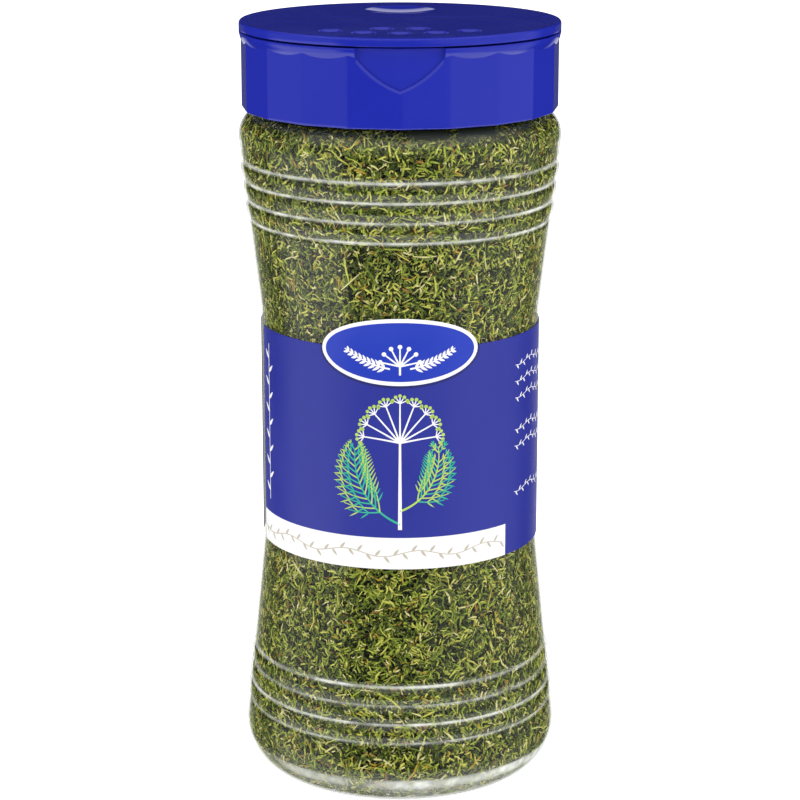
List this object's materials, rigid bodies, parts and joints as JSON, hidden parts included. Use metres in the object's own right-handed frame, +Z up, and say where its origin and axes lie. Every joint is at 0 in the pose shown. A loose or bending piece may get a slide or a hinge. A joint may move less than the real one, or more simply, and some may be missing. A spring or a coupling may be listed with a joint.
{
  "type": "jar of dried dill",
  "caption": "Clear ribbed plastic jar full of chopped dried dill, with a wrap-round label and a blue screw cap that has a sprinkle flap and a spoon flap.",
  "frame": {"origin": "centre of the jar's base, on the surface that it stands on", "axes": "+Z up along the jar's axis, -Y towards the front with the sprinkle flap, +X to the right seen from the front"},
  "size_m": [0.0726, 0.0726, 0.1745],
  "materials": {
    "clear_pet": "clear, glossy, faintly green",
    "dried_dill": "dry chopped leaf, matt",
    "label_film": "printed film, satin",
    "blue_cap": "smooth moulded, semi-gloss"
  },
  "bodies": {
    "jar": {"jar": "clear_pet", "dill_filling": "dried_dill", "label": "label_film"},
    "cap": {"cap": "blue_cap"},
    "sprinkle_flap": {"sprinkle_flap": "blue_cap"},
    "spoon_flap": {"spoon_flap": "blue_cap"}
  },
  "joints": [
    {"name": "cap_turn", "type": "hinge", "parent": "jar", "child": "cap", "pos_m": [0, 0, 0.155], "axis": [0, 0, 1], "range_deg": [0, 360]},
    {"name": "sprinkle_hinge", "type": "hinge", "parent": "cap", "child": "sprinkle_flap", "pos_m": [0, -0.0057, 0.1745], "axis": [-1, 0, 0], "range_deg": [0, 95]},
    {"name": "spoon_hinge", "type": "hinge", "parent": "cap", "child": "spoon_flap", "pos_m": [0, 0.0057, 0.1745], "axis": [1, 0, 0], "range_deg": [0, 95]}
  ]
}
